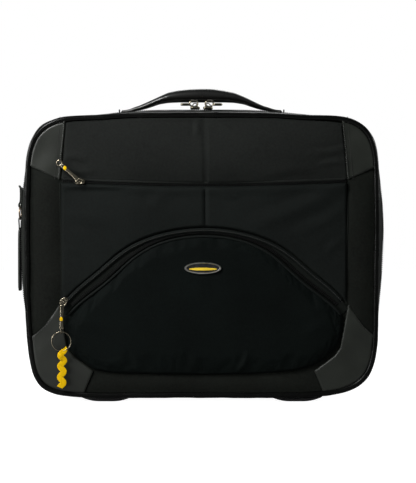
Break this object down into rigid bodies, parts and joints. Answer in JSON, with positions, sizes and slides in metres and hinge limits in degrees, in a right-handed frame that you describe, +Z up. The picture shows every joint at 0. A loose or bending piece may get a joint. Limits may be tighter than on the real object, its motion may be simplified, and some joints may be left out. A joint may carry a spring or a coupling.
{
  "type": "rolling laptop case",
  "caption": "Soft-sided upright rolling laptop case with a hinged zipped front door, pockets, telescopic trolley handle, carry handle and wheels.",
  "frame": {"origin": "on the ground, under the middle of the case's bounding box", "axes": "+Z up, +X to the right seen from the front, the front face looks along -Y"},
  "size_m": [0.4577, 0.2108, 0.3893],
  "materials": {
    "fabric": "matt woven nylon, padded",
    "panel_fabric": "matt woven nylon, a little lighter",
    "piping": "satin sewn cord edge",
    "leatherette": "satin pebbled leatherette",
    "zip_tape": "woven tape with a nylon coil",
    "board": "lined stiff board",
    "black_plastic": "moulded, fine texture",
    "gloss_black": "smooth gloss",
    "tube_aluminium": "anodised satin",
    "nickel": "warm nickel plate",
    "badge_metal": "satin silver with a dark enamel field",
    "wheel_rubber": "matt",
    "yellow_ribbon": "woven wavy ribbon"
  },
  "bodies": {
    "case": {"rear_gusset": "fabric", "base_panel": "fabric", "back_panel": "fabric", "rear_piping": "piping", "divider_panel": "board", "back_board": "board", "floor_board": "board", "main_zip": "zip_tape", "trolley_bezel": "black_plastic", "trolley_base_bracket": "black_plastic", "trolley_outer_tube_left": "tube_aluminium", "trolley_outer_tube_right": "tube_aluminium", "wheel_housing_left": "black_plastic", "wheel_housing_right": "black_plastic", "wheel_axle_left": "nickel", "wheel_axle_right": "nickel", "handle_anchor_left": "leatherette", "handle_anchor_right": "leatherette", "front_foot_left": "gloss_black", "front_foot_right": "gloss_black", "side_tab": "leatherette"},
    "door": {"front_gusset": "fabric", "front_panel": "fabric", "front_piping": "piping", "upper_corner_patch_left": "leatherette", "upper_corner_patch_right": "leatherette", "lower_corner_patch_left": "leatherette", "lower_corner_patch_right": "leatherette", "upper_panel": "panel_fabric", "middle_panel": "panel_fabric", "arch_pocket_panel": "panel_fabric", "arch_zip": "zip_tape", "pocket_zip": "zip_tape", "badge": "badge_metal", "organiser_panel": "board"},
    "trolley_lower": {"trolley_middle_tube_left": "tube_aluminium", "trolley_middle_tube_right": "tube_aluminium"},
    "trolley_upper": {"trolley_inner_tube_left": "tube_aluminium", "trolley_inner_tube_right": "tube_aluminium", "trolley_grip": "gloss_black"},
    "grip_button": {"trolley_button": "black_plastic"},
    "wheel_left": {"wheel_hub_left": "black_plastic", "wheel_tyre_left": "wheel_rubber"},
    "wheel_right": {"wheel_hub_right": "black_plastic", "wheel_tyre_right": "wheel_rubber"},
    "handle": {"carry_handle": "gloss_black"},
    "arch_zip_slider": {"arch_slider": "nickel"},
    "arch_zip_puller": {"arch_puller": "nickel"},
    "split_ring": {"key_ring": "nickel", "ribbon": "yellow_ribbon"},
    "pocket_zip_slider": {"pocket_slider": "nickel"},
    "pocket_zip_puller": {"pocket_puller": "nickel"},
    "main_zip_slider_left": {"main_slider_left": "nickel"},
    "main_zip_puller_left": {"main_puller_left": "nickel"},
    "main_zip_slider_right": {"main_slider_right": "nickel"},
    "main_zip_puller_right": {"main_puller_right": "nickel"},
    "ring": {"side_ring": "nickel"},
    "tag": {"id_tag": "leatherette"}
  },
  "joints": [
    {"name": "front_door_hinge", "type": "hinge", "parent": "case", "child": "door", "pos_m": [0, -0.088, 0.008], "axis": [1, 0, 0], "range_deg": [0, 75]},
    {"name": "trolley_stage_1", "type": "slide", "parent": "case", "child": "trolley_lower", "axis": [0, 0, 1], "range_m": [0, 0.285]},
    {"name": "trolley_stage_2", "type": "slide", "parent": "trolley_lower", "child": "trolley_upper", "axis": [0, 0, 1], "range_m": [0, 0.285]},
    {"name": "grip_button_press", "type": "slide", "parent": "trolley_upper", "child": "grip_button", "axis": [0, 0, -1], "range_m": [0, 0.003], "stiffness_N_per_m": 400},
    {"name": "wheel_left_spin", "type": "hinge", "parent": "case", "child": "wheel_left", "pos_m": [-0.151, 0.076, 0.027], "axis": [1, 0, 0], "continuous": true},
    {"name": "wheel_right_spin", "type": "hinge", "parent": "case", "child": "wheel_right", "pos_m": [0.151, 0.076, 0.027], "axis": [1, 0, 0], "continuous": true},
    {"name": "carry_handle_tilt", "type": "hinge", "parent": "case", "child": "handle", "pos_m": [0, 0.008, 0.361], "axis": [1, 0, 0], "range_deg": [-38, 38]},
    {"name": "arch_zip_run", "type": "hinge", "parent": "door", "child": "arch_zip_slider", "pos_m": [0.004, -0.0976, 0.003], "axis": [0, 1, 0], "range_deg": [0, 108]},
    {"name": "arch_puller_swing", "type": "hinge", "parent": "arch_zip_slider", "child": "arch_zip_puller", "pos_m": [-0.16638, -0.1044, 0.1223], "axis": [0, 1, 0], "range_deg": [-40, 120]},
    {"name": "key_ring_swing", "type": "hinge", "parent": "arch_zip_puller", "child": "split_ring", "pos_m": [-0.16898, -0.1044, 0.0862], "axis": [0, 1, 0], "range_deg": [-28, 28]},
    {"name": "pocket_zip_run", "type": "slide", "parent": "door", "child": "pocket_zip_slider", "axis": [1, 0, 0], "range_m": [0, 0.3]},
    {"name": "pocket_puller_swing", "type": "hinge", "parent": "pocket_zip_slider", "child": "pocket_zip_puller", "pos_m": [-0.147, -0.1025, 0.268], "axis": [0, 1, 0], "range_deg": [-40, 130]},
    {"name": "main_zip_run_left", "type": "slide", "parent": "case", "child": "main_zip_slider_left", "axis": [-1, 0, 0], "range_m": [0, 0.07]},
    {"name": "main_puller_flip_left", "type": "hinge", "parent": "main_zip_slider_left", "child": "main_zip_puller_left", "pos_m": [-0.0045, -0.047, 0.3643], "axis": [0, 1, 0], "range_deg": [0, 100]},
    {"name": "main_zip_run_right", "type": "slide", "parent": "case", "child": "main_zip_slider_right", "axis": [1, 0, 0], "range_m": [0, 0.07]},
    {"name": "main_puller_flip_right", "type": "hinge", "parent": "main_zip_slider_right", "child": "main_zip_puller_right", "pos_m": [0.0045, -0.047, 0.3643], "axis": [0, -1, 0], "range_deg": [0, 100]},
    {"name": "side_ring_swing", "type": "hinge", "parent": "case", "child": "ring", "pos_m": [-0.229, 0, 0.24], "axis": [0, 1, 0], "range_deg": [0, 110]},
    {"name": "id_tag_swing", "type": "hinge", "parent": "ring", "child": "tag", "pos_m": [-0.229, 0, 0.2236], "axis": [0, 1, 0], "range_deg": [0, 90]}
  ]
}
